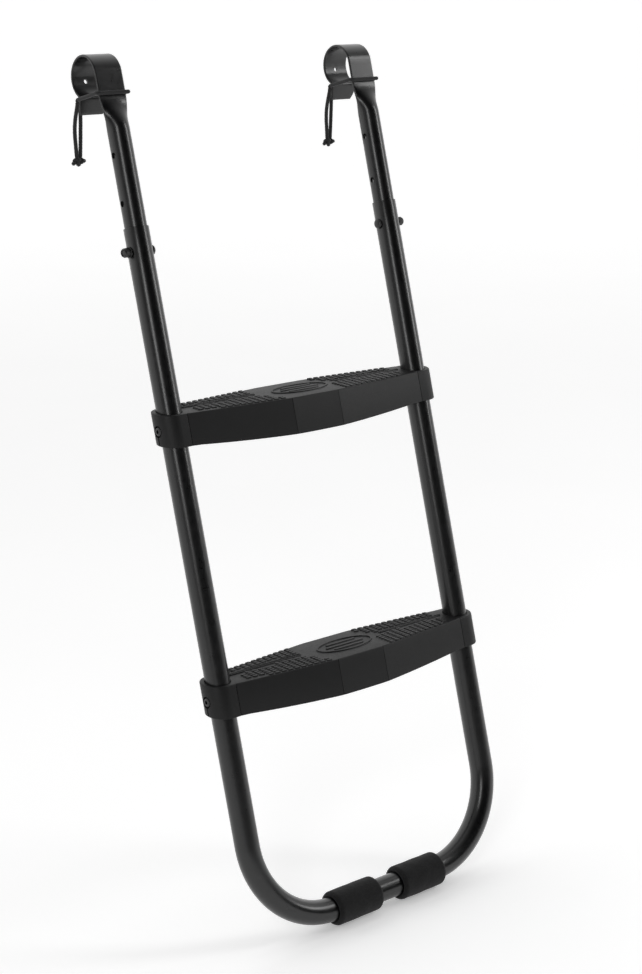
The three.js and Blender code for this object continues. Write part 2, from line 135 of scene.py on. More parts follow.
class Nodes:
    """A material's node tree, with the Principled shader's sockets by name."""

    def __init__(self, name, sockets):
        self.material = bpy.data.materials.new(name)
        self.material.use_nodes = True
        self.tree = self.material.node_tree
        self.shader = self.tree.nodes["Principled BSDF"]
        for socket, value in sockets.items():
            self.shader.inputs[socket].default_value = value
        self.coordinates = self.add("ShaderNodeTexCoord").outputs["Object"]
        self.normal = None

    def add(self, kind, **settings):
        node = self.tree.nodes.new(kind)
        for key, value in settings.items():
            setattr(node, key, value)
        return node

    def link(self, a, b):
        self.tree.links.new(a, b)

    def noise(self, per_metre, detail, rough=0.5):
        node = self.add("ShaderNodeTexNoise")
        node.inputs["Scale"].default_value = per_metre
        node.inputs["Detail"].default_value = detail
        node.inputs["Roughness"].default_value = rough
        self.link(self.coordinates, node.inputs["Vector"])
        return node.outputs["Fac"]

    def cells(self, per_metre, feature):
        node = self.add("ShaderNodeTexVoronoi", feature=feature)
        node.inputs["Scale"].default_value = per_metre
        self.link(self.coordinates, node.inputs["Vector"])
        return node.outputs["Distance"]

    def ramp(self, source, stops):
        node = self.add("ShaderNodeValToRGB")
        ramp = node.color_ramp
        while len(ramp.elements) < len(stops):
            ramp.elements.new(0.5)
        for element, (at, colour) in zip(ramp.elements, stops):
            element.position = at
            element.color = (*colour, 1) if hasattr(colour, "__len__") else (colour,) * 3 + (1,)
        self.link(source, node.inputs["Fac"])
        return node.outputs["Color"]

    def vary(self, socket, source, stops):
        self.link(self.ramp(source, stops), self.shader.inputs[socket])

    def bump(self, source, height_mm, strength=1.0):
        node = self.add("ShaderNodeBump")
        node.inputs["Distance"].default_value = height_mm * MM
        node.inputs["Strength"].default_value = strength
        self.link(source, node.inputs["Height"])
        if self.normal:
            self.link(self.normal, node.inputs["Normal"])
        self.normal = node.outputs["Normal"]
        self.link(self.normal, self.shader.inputs["Normal"])


def powder_coat():
    made = Nodes(
        "black_powder_coat",
        {"Specular IOR Level": 0.5, "Coat Weight": 0.25, "Coat Roughness": 0.16},
    )
    cloud = made.noise(45, 4)
    peel = made.noise(900, 2)
    made.vary("Base Color", cloud, [(0.3, (0.0016, 0.0017, 0.0019)), (0.7, (0.0026, 0.0027, 0.003))])
    made.vary("Roughness", made.noise(160, 5, 0.6), [(0.3, 0.27), (0.7, 0.35)])
    made.bump(peel, 0.03, 0.35)
    made.bump(made.noise(4200, 2), 0.006, 0.3)
    return made.material


def moulded_plastic():
    made = Nodes("black_moulded_plastic", {"Specular IOR Level": 0.33})
    cloud = made.noise(30, 4)
    grain = made.noise(2600, 4, 0.65)
    made.vary("Base Color", cloud, [(0.3, (0.0026, 0.0027, 0.0029)), (0.7, (0.0038, 0.0039, 0.0042))])
    made.vary("Roughness", made.noise(420, 5, 0.6), [(0.3, 0.46), (0.7, 0.56)])
    made.bump(grain, 0.05, 0.35)
    made.bump(made.noise(60, 2), 0.12, 0.2)
    return made.material


def foam_rubber():
    made = Nodes(
        "black_foam",
        {"Specular IOR Level": 0.3, "Sheen Weight": 0.06, "Sheen Roughness": 0.6},
    )
    pores_and_pit_shade = made.cells(1100, "SMOOTH_F1")
    # Painted shade: the base colour is darker in the pores, the pits of the bump below, and lighter
    # between them.
    made.vary("Base Color", pores_and_pit_shade, [(0.1, (0.003, 0.003, 0.0033)), (0.6, (0.0065, 0.0065, 0.007))])
    made.vary("Roughness", made.noise(300, 4), [(0.3, 0.84), (0.7, 0.96)])
    made.bump(pores_and_pit_shade, 0.25, 0.5)
    made.bump(made.noise(260, 4, 0.6), 0.3, 0.4)
    return made.material


def braid():
    made = Nodes(
        "elastic_braid",
        {"Specular IOR Level": 0.35, "Sheen Weight": 0.2, "Sheen Roughness": 0.4},
    )
    fibres = made.noise(5200, 3, 0.6)
    attribute = made.add("ShaderNodeAttribute", attribute_name="braid")
    # Painted shade: the base colour is dark in the valleys between the strands and lighter on their
    # crests, following the strands' height.
    painted_valley_shade, painted_crest_light = (0.002, 0.002, 0.0022), (0.013, 0.013, 0.0135)
    made.vary("Base Color", attribute.outputs["Fac"], [(0.0, painted_valley_shade), (1.0, painted_crest_light)])
    made.vary("Roughness", fibres, [(0.3, 0.62), (0.7, 0.82)])
    made.bump(fibres, 0.04, 0.5)
    return made.material


def blacked_steel():
    made = Nodes(
        "black_bolt_finish",
        {"Specular IOR Level": 0.5, "Coat Weight": 0.15, "Coat Roughness": 0.25},
    )
    dark, worn = (0.002, 0.002, 0.0023), (0.004, 0.004, 0.0044)
    made.vary("Base Color", made.noise(500, 4), [(0.3, dark), (0.7, worn)])
    made.vary("Roughness", made.noise(1500, 4), [(0.3, 0.36), (0.7, 0.5)])
    made.bump(made.noise(3000, 3), 0.02, 0.3)
    return made.material


def plated(name, colours, roughness):
    made = Nodes(name, {"Metallic": 1.0})
    made.vary("Base Color", made.noise(350, 4), [(0.3, colours[0]), (0.7, colours[1])])
    made.vary("Roughness", made.noise(1500, 4), [(0.3, roughness[0]), (0.7, roughness[1])])
    made.bump(made.noise(3000, 3), 0.02, 0.3)
    return made.material


MATERIALS = {
    "black_steel": powder_coat(),
    "black_plastic": moulded_plastic(),
    "black_foam": foam_rubber(),
    "elastic": braid(),
    "black_bolt": blacked_steel(),
    "zinc": plated("zinc_plate", [(0.5, 0.51, 0.52), (0.62, 0.63, 0.65)], (0.22, 0.36)),
}

# ---- Mesh building ------------------------------------------------------------------------------


class Shape:
    """Vertices and faces gathered in millimetres."""

    def __init__(self):
        self.points = []
        self.faces = []

    def add(self, points):
        first = len(self.points)
        self.points.extend(tuple(p) for p in points)
        return list(range(first, len(self.points)))

    def bridge(self, a, b, closed=True):
        count = len(a)
        for i in range(count if closed else count - 1):
            j = (i + 1) % count
            self.faces.append((a[i], a[j], b[j], b[i]))

    def cap(self, loop):
        self.faces.append(tuple(loop))

    def tube(self, loops, cap_ends=True):
        """Joins loops of points one after the other. Without caps the last loop meets the first."""
        made = [self.add(loop) for loop in loops]
        for a, b in zip(made, made[1:]):
            self.bridge(a, b)
        if cap_ends:
            self.cap(made[0][::-1])
            self.cap(made[-1])
        else:
            self.bridge(made[-1], made[0])
        return made

    def mesh(self, name, matrix, crease=32):
        bm = bmesh.new()
        made = [bm.verts.new(matrix @ Vector(p)) for p in self.points]
        for face in self.faces:
            bm.faces.new([made[i] for i in face])
        bmesh.ops.recalc_face_normals(bm, faces=bm.faces)
        sharpen(bm, crease)
        data = bpy.data.meshes.new(name)
        bm.to_mesh(data)
        bm.free()
        return data


def sharpen(bm, crease):
    limit = math.radians(crease)
    for face in bm.faces:
        face.smooth = True
    for edge in bm.edges:
        edge.smooth = len(edge.link_faces) == 2 and edge.calc_face_angle(0) < limit


def place(name, data, slot, body, *nodes):
    """Puts a mesh into the scene as a piece that rides on a body and stands for its CAD nodes."""
    piece = add_object(name, data)
    data.materials.append(MATERIALS[slot])
    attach(piece, body)
    if nodes:
        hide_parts(*nodes)
    return piece


def arc(count, start, end):
    return [start + (end - start) * i / count for i in range(count + 1)]


def round_loop(radius, x, count):
    """A circle about the x axis."""
    return [
        (x, radius * math.cos(a), radius * math.sin(a))
        for a in arc(count, 0, 2 * math.pi)[:-1]
    ]


def hexagon_loop(flats, x, count, widest):
    """A hexagon about the x axis, its corners turned down to the radius widest."""
    points = []
    for a in arc(count, 0, 2 * math.pi)[:-1]:
        to_flat = (a % (math.pi / 3)) - math.pi / 6
        radius = min(flats / 2 / math.cos(to_flat), widest)
        points.append((x, radius * math.cos(a), radius * math.sin(a)))
    return points


def smoothstep(value, low, high):
    t = min(1, max(0, (value - low) / (high - low)))
    return t * t * (3 - 2 * t)


def mix(a, b, t):
    return a + (b - a) * t


# ---- Cords --------------------------------------------------------------------------------------

CORD_HELD = [
    (-20.3, 7.4, -23.7), (-20.3, -2, -21.6), (-20.3, -15, -18.3), (-20.3, -26, -15.4),
    (-20.3, -29.4, -14.6), (-19.9, -31, -14.5), (-18.9, -32, -14.4), (-17.4, -32.4, -14.4),
    (-9, -32.4, -14.4), (0, -32.4, -14.4), (9, -32.4, -14.4), (17.4, -32.4, -14.4), (18.9, -32, -14.4),
    (19.9, -31, -14.5), (20.3, -29.4, -14.6), (20.3, -26, -15.4), (20.3, -15, -18.3),
    (20.3, -2, -21.6), (20.3, 7.5, -23.7), (19.8, 9.9, -24.3), (18.4, 11.2, -24.6),
    (16.7, 11.6, -24.7), (8, 11.6, -24.7), (-1, 11.6, -24.7), (-9.2, 11.6, -24.7),
]
CORD_TAILS = {
    "a": [
        (-20.5, 8, -26.4), (-20.5, 8, -27.4), (-20.8, 8.1, -31), (-21.7, 8.7, -37), (-22.5, 9.9, -45),
        (-22.6, 11.3, -54), (-22, 12.2, -64), (-21, 12.5, -75), (-20.2, 12.5, -87),
    ],
    "b": [
        (-9.6, 11.6, -24.7), (-10.5, 11.6, -24.7), (-12.2, 11.8, -25.6), (-13.4, 12.1, -27.8),
        (-14, 12.4, -32), (-14, 12.5, -38), (-14, 12.6, -48), (-14.4, 12.6, -60), (-15, 12.5, -74),
        (-15.6, 12.5, -87),
    ],
}
# In place of the held route's first point, the cord comes up round the tab's corner from tail a.
HELD_TURN = [(-20.5, 8, -26.3), (-20.5, 7.95, -25.3), (-20.4, 7.2, -24.2), (-20.3, 5.2, -23.3)]
KNOT = Vector((-18, 12.5, -92))
CORD_STEP, CURVE_CUTS = 0.42, 16


def smooth_path(points, spacing):
    """A Catmull-Rom curve through the points, cut into near-equal steps."""
    points = [Vector(p) for p in points]
    last = len(points) - 1
    fine = []
    for i in range(last):
        p = [points[min(max(i + k, 0), last)] for k in (-1, 0, 1, 2)]
        for step in range(CURVE_CUTS):
            t = step / CURVE_CUTS
            fine.append(
                0.5
                * (
                    2 * p[1]
                    + (p[2] - p[0]) * t
                    + (2 * p[0] - 5 * p[1] + 4 * p[2] - p[3]) * t * t
                    + (3 * p[1] - p[0] - 3 * p[2] + p[3]) * t * t * t
                )
            )
    fine.append(points[-1])
    lengths = [0]
    for a, b in zip(fine, fine[1:]):
        lengths.append(lengths[-1] + (b - a).length)
    steps = max(4, round(lengths[-1] / spacing))
    path, at = [], 0
    for i in range(steps + 1):
        wanted = lengths[-1] * i / steps
        while at < len(fine) - 2 and lengths[at + 1] < wanted:
            at += 1
        share = (wanted - lengths[at]) / max(lengths[at + 1] - lengths[at], 1e-9)
        path.append(fine[at].lerp(fine[at + 1], share))
    return path


def cord_mesh(name, paths, matrix):
    """Cord along each (path, closed), with crossing strands as radius and as an attribute for the
    painted shade in the valleys between them.
    """
    around, plaits, pitch, relief = 32, 8, 7.0, 0.16
    shape, painted_weave_shade = Shape(), []
    for path, closed in paths:
        loops, travelled, side = [], 0, None
        for i, point in enumerate(path):
            if closed:
                along = path[(i + 1) % len(path)] - path[i - 1]
            else:
                along = path[min(i + 1, len(path) - 1)] - path[max(i - 1, 0)]
            along.normalize()
            if side is None:
                side = along.orthogonal()
            side = (side - along * side.dot(along)).normalized()
            up = along.cross(side)
            if i:
                travelled += (point - path[i - 1]).length
            end = 1 if closed else min(1, 0.8 + min(i, len(path) - 1 - i) * 0.1)
            loop = []
            for k in range(around):
                a = 2 * math.pi * k / around
                turn = plaits * a
                run = 2 * math.pi * travelled / pitch * plaits / 2
                height = 0.5 + 0.5 * max(math.sin((turn + run) / 2), math.sin((turn - run) / 2))
                over = 0.5 + 0.5 * math.sin((turn + run) / 2) * math.sin((turn - run) / 2)
                height = 0.65 * height + 0.35 * over
                painted_weave_shade.append(height)
                radius = (CORD - relief + relief * height) * end
                loop.append(point + side * (radius * math.cos(a)) + up * (radius * math.sin(a)))
            loops.append(loop)
        shape.tube(loops, cap_ends=not closed)
    data = shape.mesh(name, matrix, crease=80)
    # The strands' height, kept as an attribute for the painted shade in the valleys between the
    # strands.
    attribute = data.attributes.new("braid", "FLOAT", "POINT")
    for item, value in zip(attribute.data, painted_weave_shade):
        item.value = value
    return data


def knot_paths():
    """An overhand knot drawn tight, and the two cut ends that stand out of it."""
    knotted = []
    for a in arc(90, 0, 2 * math.pi)[:-1]:
        knotted.append(
            KNOT
            + Vector((
                1.7 * (math.sin(a) + 2 * math.sin(2 * a)),
                -1.5 * math.sin(3 * a),
                1.15 * (math.cos(a) - 2 * math.cos(2 * a)) + 0.9,
            ))
        )
    ends = [
        [(-2, 0.6, 0.5), (-5, 0.2, -0.2), (-8, -0.4, -1.6)],
        [(2, -0.6, 0), (4.8, -0.8, 1.0), (8, -0.6, 1.5)],
    ]
    made = [(knotted, True)]
    for end in ends:
        made.append((smooth_path([KNOT + Vector(p) for p in end], 0.5), False))
    return made


for hand, side in SIDES.items():
    ring_frame = Matrix.Scale(MM, 4) @ Matrix.Translation((side * HALF_SPACING, 0, 0))
    body = f"{hand}_hook"
    name = f"{hand}_cord_held"
    held_path = smooth_path(HELD_TURN + CORD_HELD[1:], CORD_STEP)
    held = cord_mesh(name, [(held_path, False)], ring_frame)
    place(name, held, "elastic", body, f"{hand}_hook_cord")
    name = f"{hand}_knot"
    data = cord_mesh(name, knot_paths(), ring_frame)
    knot = place(name, data, "elastic", body, f"{hand}_cord_knot")
    for strand, route in CORD_TAILS.items():
        path = smooth_path(route, CORD_STEP)
        name = f"{hand}_tail_{strand}"
        data = cord_mesh(name, [(path, False)], ring_frame)
        tail = place(name, data, "elastic", body, f"{hand}_cord_tail_{strand}")

# ---- Tubes --------------------------------------------------------------------------------------


# Rows and columns of points on each side of a drilled hole's middle, the distance between the
# rows, and how far from the hole's middle the plain rows next to them are.
HOLE_ROWS, HOLE_COLUMNS, HOLE_ROW_STEP, HOLE_REACH = 4, 8, 1.25, 9
# Rows from the ring's hole to where the tab's corner may be cut.
TAB_ROWS = 14
# Where the ring ends and the tab begins, in degrees round the ring, how long the bend between them
# is on each side, and the last row's place from the tab's tip.
RING_END, TAB_BEND, TAB_END = -48, 2.6, (-0.9, 0.2)


def ring_of_patch():
    """Grid offsets round a hole's patch, one way round."""
    rows, columns = HOLE_ROWS, HOLE_COLUMNS
    edge = [(-rows, c) for c in range(-columns, columns)]
    edge += [(r, columns) for r in range(-rows, rows)]
    edge += [(rows, c) for c in range(columns, -columns, -1)]
    edge += [(r, -columns) for r in range(rows, -rows, -1)]
    return edge


def holed_grid(shape, rows, patches):
    """Joins rows of points, leaving out square patches, and draws each patch in to a round hole.

    A patch is (row, column, place), where place(u, v) gives the point of the hole's edge for a
    direction (u along the row, v along the rows). Returns the rows' loops and the hole loops."""
    made = [shape.add(row) for row in rows]
    count = len(made[0])
    left_out = set()
    for row, column, _ in patches:
        for r in range(row - HOLE_ROWS, row + HOLE_ROWS):
            for c in range(column - HOLE_COLUMNS, column + HOLE_COLUMNS):
                left_out.add((r, c % count))
    for r, (a, b) in enumerate(zip(made, made[1:])):
        for c in range(count):
            if (r, c) not in left_out:
                d = (c + 1) % count
                shape.faces.append((a[c], a[d], b[d], b[c]))
    holes = []
    offsets = ring_of_patch()
    for row, column, at in patches:
        edge = [made[row + r][(column + c) % count] for r, c in offsets]
        rim = []
        for r, c in offsets:
            direction = Vector((c / HOLE_COLUMNS, r / HOLE_ROWS)).normalized()
            rim.append(at(direction.x, direction.y))
        loop = shape.add(rim)
        shape.bridge(edge, loop)
        holes.append(loop)
    return made, holes


def lower_frame():
    """The U-shaped tube, from the left leg's top down, round the bottom and up the right leg."""
    around = 96
    path = [(-HALF_SPACING, s, 0) for s in (FRAME_TOP, 100, -100, -300, FRAME_BOTTOM + BEND + 20)]
    path += [
        (BEND - HALF_SPACING - BEND * math.cos(a), FRAME_BOTTOM + BEND - BEND * math.sin(a), a)
        for a in arc(40, 0, math.pi / 2)
    ]
    path += [(-30, FRAME_BOTTOM, math.pi / 2)]
    path += [(-x, s, math.pi - a) for x, s, a in path[::-1]]

    def loop(x, s, a, radius, ahead=0):
        across = Vector((math.cos(a), 0, math.sin(a)))
        along = Vector((math.sin(a), 0, -math.cos(a)))
        centre = Vector((x, 0, s)) + along * ahead
        return [
            centre + across * (radius * math.cos(t)) + Vector((0, radius * math.sin(t), 0))
            for t in arc(around, 0, 2 * math.pi)[:-1]
        ]

    inner = FRAME_TUBE - WALL
    lip = [(0, 0.4), (0.12, 0.12), (0.4, 0)]
    first, last = path[0], path[-1]
    start = [loop(*first, FRAME_TUBE - out, ahead) for out, ahead in lip[::-1]]
    end = [loop(*last, FRAME_TUBE - out, -ahead) for out, ahead in lip]
    outside = start + [loop(*p, FRAME_TUBE) for p in path[1:-1]] + end
    start = [loop(*last, inner + out, -ahead) for out, ahead in lip[::-1]]
    end = [loop(*first, inner + out, ahead) for out, ahead in lip]
    inside = start + [loop(*p, inner) for p in path[-2:0:-1]] + end
    shape = Shape()
    shape.tube(outside + inside, cap_ends=False)
    return shape.mesh("u_frame", LEG)


def flat_section(count, half_width, half_thick):
    """A flattened tube's section, points evenly spaced from +x round by the rear."""
    straight = 2 * (half_width - half_thick)
    perimeter = 2 * straight + 2 * math.pi * half_thick
    quarter = math.pi / 2 * half_thick
    points = []
    for k in range(count):
        q = perimeter * k / count
        if q < quarter:
            a = q / half_thick
            points.append((straight / 2 + half_thick * math.cos(a), half_thick * math.sin(a)))
        elif q < quarter + straight:
            points.append((straight / 2 - (q - quarter), half_thick))
        elif q < 3 * quarter + straight:
            a = math.pi / 2 + (q - quarter - straight) / half_thick
            points.append((-straight / 2 + half_thick * math.cos(a), half_thick * math.sin(a)))
        elif q < 3 * quarter + 2 * straight:
            points.append((-straight / 2 + (q - 3 * quarter - straight), -half_thick))
        else:
            a = 1.5 * math.pi + (q - 3 * quarter - 2 * straight) / half_thick
            points.append((straight / 2 + half_thick * math.cos(a), half_thick * math.sin(a)))
    return points


def hook_path():
    """The strap's centre line from the neck up, over and down to the tab's tip: (n, s, along)."""
    middle = RING_OUTER - STRAP / 2
    front = RING_N - middle
    path = [(front, s, (0, 1)) for s in arc(6, NECK_S + 4, RING_S - 3)]
    row_turn = math.degrees(HOLE_ROW_STEP / middle)
    hole_end = HOLE_ROWS * row_turn
    over_top = arc(44, 180, hole_end + 4)[1:]
    hole_row = len(path) + len(over_top) + HOLE_ROWS
    degrees = over_top + [-row_turn * i for i in range(-HOLE_ROWS, HOLE_ROWS + 1)]
    degrees += arc(10, -hole_end - 3, RING_END)
    for degree in degrees:
        a = math.radians(degree)
        path.append(
            (RING_N + middle * math.cos(a), RING_S + middle * math.sin(a), (math.sin(a), -math.cos(a)))
        )
    start = Vector(path[-1][:2])
    corner = start + Vector(path[-1][2]) * TAB_BEND
    tip = Vector(TAB_TIP) + Vector(TAB_END)
    down = (tip - corner).normalized()
    finish = corner + down * TAB_BEND
    for t in arc(8, 0, 1)[1:]:
        at = start.lerp(corner, t).lerp(corner.lerp(finish, t), t)
        along = (corner - start).lerp(finish - corner, t).normalized()
        path.append((at.x, at.y, tuple(along)))
    for t in arc(6, 0, 1)[1:]:
        at = finish.lerp(tip, t)
        path.append((at.x, at.y, tuple(down)))
    return path, hole_row


def hook_tube():
    """A hook tube from its lower end up, pressed flat at the neck and rolled into a ring and tab."""
    around = 128
    quarter = around // 4
    bore = HOOK_TUBE - WALL
    bore_top = NECK_S - 50
    hole = BOLT + GAP
    settings = [SETTING_BOLT + i * SETTING_PITCH for i in range(3)]
    stations = [HOOK_TUBE_END + 0.4, 150]
    hole_rows = []
    for s in settings:
        hole_rows.append(len(stations) + HOLE_ROWS + 1)
        across_hole = [s + i * HOLE_ROW_STEP for i in range(-HOLE_ROWS, HOLE_ROWS + 1)]
        stations += [s - HOLE_REACH, *across_hole, s + HOLE_REACH]
    flat = flat_section(around, STRAP_HALF, STRAP / 2)
    strap_n = RING_N - RING_OUTER + STRAP / 2

    def clipped(half_width, half_thick, off):
        """The flat section, its right side set in by off."""
        section = flat_section(around, half_width - off / 2, half_thick)
        return [(x - off / 2, m) for x, m in section]

    def tube_row(s, radius):
        turns = arc(around, 0, 2 * math.pi)[:-1]
        return [(radius * math.cos(a), radius * math.sin(a), s) for a in turns]

    def pressed_row(s):
        """The tube's outside on its way from round to flat."""
        t = smoothstep(s, PRESS_S, NECK_S + 3)
        row = []
        for k in range(around):
            a = 2 * math.pi * k / around
            x = mix(HOOK_TUBE * math.cos(a), flat[k][0], t)
            n = mix(HOOK_TUBE * math.sin(a), flat[k][1], t) + strap_n * t
            row.append((x, n, s))
        return row

    def bolt_holes(radius):
        """Patches for the height settings' through holes in a wall of this radius."""

        def hole_edge(turn, s0):
            def at(u, v):
                a = turn + math.asin(hole * u / radius)
                return (radius * math.cos(a), radius * math.sin(a), s0 + hole * v)

            return at

        found = []
        for row, s0 in zip(hole_rows, settings):
            for column, turn in ((0, 0), (2 * quarter, math.pi)):
                found.append((row, column, hole_edge(turn, s0)))
        return found

    path, ring_row = hook_path()
    outer = [tube_row(s, HOOK_TUBE) for s in stations]
    pressed = arc(44, PRESS_S - 2, NECK_S + 3)
    outer += [pressed_row(s) for s in pressed]
    before = len(outer)
    tip = Vector(path[-1][:2])
    for index, (n, s, along) in enumerate(path):
        off = 0
        if index > ring_row + TAB_ROWS:
            from_tip = (Vector((n, s)) - tip).length
            off = TAB_CHAMFER[0] * max(0, 1 - from_tip / TAB_CHAMFER[1])
        section = clipped(STRAP_HALF, STRAP / 2, off)
        outer.append([(x, n + m * along[1], s - m * along[0]) for x, m in section])
    n, s, along = path[-1]
    for inset, ahead in ((0.25, 0.3), (0.7, 0.45)):
        section = clipped(STRAP_HALF - inset, STRAP / 2 - inset, TAB_CHAMFER[0])
        end_n, end_s = n + ahead * along[0], s + ahead * along[1]
        outer.append([(x, end_n + m * along[1], end_s - m * along[0]) for x, m in section])

    middle = RING_OUTER - STRAP / 2

    def ring_hole_edge(turn, radius):
        def at(u, v):
            a = -math.asin(RING_HOLE * v / radius)
            n, s = RING_N + radius * math.cos(a), RING_S + radius * math.sin(a)
            return (turn * RING_HOLE * u, n, s)

        return at

    patches = bolt_holes(HOOK_TUBE)
    row = before + ring_row
    for column, turn in ((quarter, -1), (3 * quarter, 1)):
        patches.append((row, column, ring_hole_edge(turn, middle + turn * STRAP / 2)))

    shape = Shape()
    made, holes = holed_grid(shape, outer, patches)
    shape.cap(made[-1])

    inner = [tube_row(s, bore) for s in [*stations, bore_top]]
    inner_made, inner_holes = holed_grid(shape, inner, bolt_holes(bore))
    shape.cap(inner_made[-1])
    for a, b in zip(holes, inner_holes):
        shape.bridge(a, b)
    front, rear = holes[-2], holes[-1]
    nearest = []
    for index in front:
        x, _, s = shape.points[index]
        nearest.append(min(rear, key=lambda j: math.dist(shape.points[j][::2], (x, s))))
    shape.bridge(front, nearest)
    lips = [
        shape.add(tube_row(HOOK_TUBE_END + 0.12, HOOK_TUBE - 0.12)),
        shape.add(tube_row(HOOK_TUBE_END, HOOK_TUBE - 0.4)),
        shape.add(tube_row(HOOK_TUBE_END, bore + 0.4)),
        shape.add(tube_row(HOOK_TUBE_END + 0.12, bore + 0.12)),
    ]
    for a, b in zip([made[0], *lips], [*lips, inner_made[0]]):
        shape.bridge(a, b)
    return shape


place("u_frame", lower_frame(), "black_steel", "frame", "lower_frame")
for hand, side in SIDES.items():
    matrix = LEG @ Matrix.Translation((side * HALF_SPACING, 0, 0))
    name = f"{hand}_telescoping_hook"
    data = hook_tube().mesh(name, matrix, crease=50)
    place(name, data, "black_steel", f"{hand}_hook", f"{hand}_hook_tube")

# ---- Steps --------------------------------------------------------------------------------------

SLEEVE_END_X = HALF_SPACING - SLEEVE / 2
NOTCH_HALF, NOTCH_DEPTH = 0.55, 0.8
EDGE_ROUND = 1.1
LEG_HOLE = FRAME_TUBE + 0.35


def step_outline(inset, corner):
    """The step's plan set in by inset. corner, 0 to 1, is how deep the creases are cut."""
    radius, depth = SLEEVE - inset, STEP_HALF_DEPTH - inset
    half = [
        (-HALF_SPACING + radius * math.cos(a), radius * math.sin(a))
        for a in arc(40, math.pi / 2, 1.5 * math.pi)
    ]
    corners = [
        (-SLEEVE_END_X, -radius), (-STEP_CREASE_X, -depth),
        (STEP_CREASE_X, -depth), (SLEEVE_END_X, -radius),
    ]
    ends = [half[-1], *corners, (HALF_SPACING, -radius)]
    for index in range(1, 5):
        before, here, after = (Vector(ends[index + k]) for k in (-1, 0, 1))
        back, on = (before - here).normalized(), (after - here).normalized()
        inward = Vector((-on.y, on.x)) if on.x > 0 else Vector((0, 1))
        half += [
            here + back * NOTCH_HALF,
            here + inward * (NOTCH_DEPTH * corner),
            here + on * NOTCH_HALF,
        ]
        if index < 4:
            parts = 12 if index != 2 else 8
            half += [here.lerp(after, t / parts) for t in range(1, parts)]
    half = [Vector(p) for p in half]
    return half + [-p for p in half]


def bow(x):
    """Height of the underside's edge at x."""
    reach = HALF_SPACING - SLEEVE
    t = min(1, max(0, (x + reach) / (2 * reach)))
    return -STEP_ENDS - 4 * (STEP_DEEPEST - STEP_ENDS) * t * (1 - t)


def offset(loop, distance):
    """A closed loop of plan points moved inwards by distance."""
    area = sum(a.x * b.y - b.x * a.y for a, b in zip(loop, loop[1:] + loop[:1]))
    sign = 1 if area > 0 else -1
    moved = []
    for i, here in enumerate(loop):
        before, after = loop[i - 1], loop[(i + 1) % len(loop)]
        a, b = (here - before).normalized(), (after - here).normalized()
        normal = Vector((-a.y - b.y, a.x + b.x))
        normal.normalize()
        share = max(0.35, normal.dot(Vector((-a.y, a.x))))
        moved.append(here + normal * (sign * distance / share))
    return moved


def field(shape, outline, holes, features):
    """Fills a plan region. outline is a list of vertex numbers; holes and features are such lists
    too, with their own faces made elsewhere, but a feature may be an (outer, inner) pair."""
    loops = [outline, *holes]
    rings = []
    for feature in features:
        if isinstance(feature, tuple):
            rings.append((len(loops), len(loops) + 1))
            loops += [feature[0], feature[1]]
        else:
            rings.append((len(loops), None))
            loops.append(feature)
    numbers = [i for loop in loops for i in loop]
    flat = [Vector(shape.points[i][:2]) for i in numbers]
    faces, at = [], 0
    for loop in loops:
        faces.append(list(range(at, at + len(loop))))
        at += len(loop)
    _, _, triangles, origin, _, owners = delaunay_2d_cdt(flat, [], faces, 0, 1e-6)
    solid_holes = set(range(1, 1 + len(holes)))
    for triangle, owner in zip(triangles, owners):
        owner = set(owner)
        if 0 not in owner or owner & solid_holes:
            continue
        if any(o in owner and (i is None or i not in owner) for o, i in rings):
            continue
        shape.faces.append(tuple(numbers[origin[v][0]] for v in triangle))


def raised(shape, loop, height, rise, inset):
    """The sides of a pad that stands up by rise. Returns its base loop and its top loop."""
    base = shape.add([(p.x, p.y, height) for p in loop])
    inner = offset(loop, inset)
    top = shape.add([(p.x, p.y, height + rise) for p in inner])
    shape.bridge(base, top)
    return base, top


def raised_ring(shape, outside, inside, height, rise, inset):
    """A ridge between two plan loops. Returns its two base loops."""
    base_out = shape.add([(p.x, p.y, height) for p in outside])
    top_out = shape.add([(p.x, p.y, height + rise) for p in offset(outside, inset)])
    top_in = shape.add([(p.x, p.y, height + rise) for p in offset(inside, -inset)])
    base_in = shape.add([(p.x, p.y, height) for p in inside])
    for a, b in ((base_out, top_out), (top_out, top_in), (top_in, base_in)):
        shape.bridge(a, b)
    return base_out, base_in


def stadium(x0, x1, y, half):
    """A plan loop with straight sides from x0 to x1 and round ends."""
    loop = []
    for x, start in ((x0 + half, math.pi / 2), (x1 - half, -math.pi / 2)):
        for a in arc(8, start, start + math.pi):
            loop.append(Vector((x + half * math.cos(a), y + half * math.sin(a))))
    return loop


def ellipse(x, rx, ry):
    turns = arc(72, 0, 2 * math.pi)[:-1]
    return [Vector((x + rx * math.cos(a), ry * math.sin(a))) for a in turns]


# Anti-slip zones on the top: corners in plan, and whether their rows follow the front edge (-1)
# or the rear edge (1). Then the long loops (x from and to, y, half width), a stud's corners, and
# the plain oval in the middle with its three bars (y, half length).
ZONES = [
    ([(-160, 1.6), (-160, -19), (-36, -33), (-33, -31), (-55, 1.6)], -1),
    ([(-165, 9), (-51, 9), (-51, 32), (-165, 20)], 1),
    ([(45, 1), (45, -33), (160, -19), (160, 1)], -1),
    ([(56, 6), (160, 6), (160, 20), (36, 33), (33, 31)], 1),
]
SLOTS = [(-161, -57, 5.4, 2.3), (60, 160, 3.5, 1.7)]
STUD = [(3.9, 0), (2.1, 1.75), (-2.1, 1.75), (-3.9, 0), (-2.1, -1.75), (2.1, -1.75)]
STUD_PITCH = (8.7, 4.7)
STUD_HEIGHT, STUD_SLOPE, STUD_MARGIN = 1.25, 0.3, 3.3
STUD_ROWS, STUD_COLUMNS = 8, 22
RELIEF, RELIEF_SLOPE = 1.1, 0.25
LOOP_WIDTH = 1.1
OVAL_X, OVAL_OUTSIDE, OVAL_INSIDE = 4, (40, 17), (37.6, 14.8)
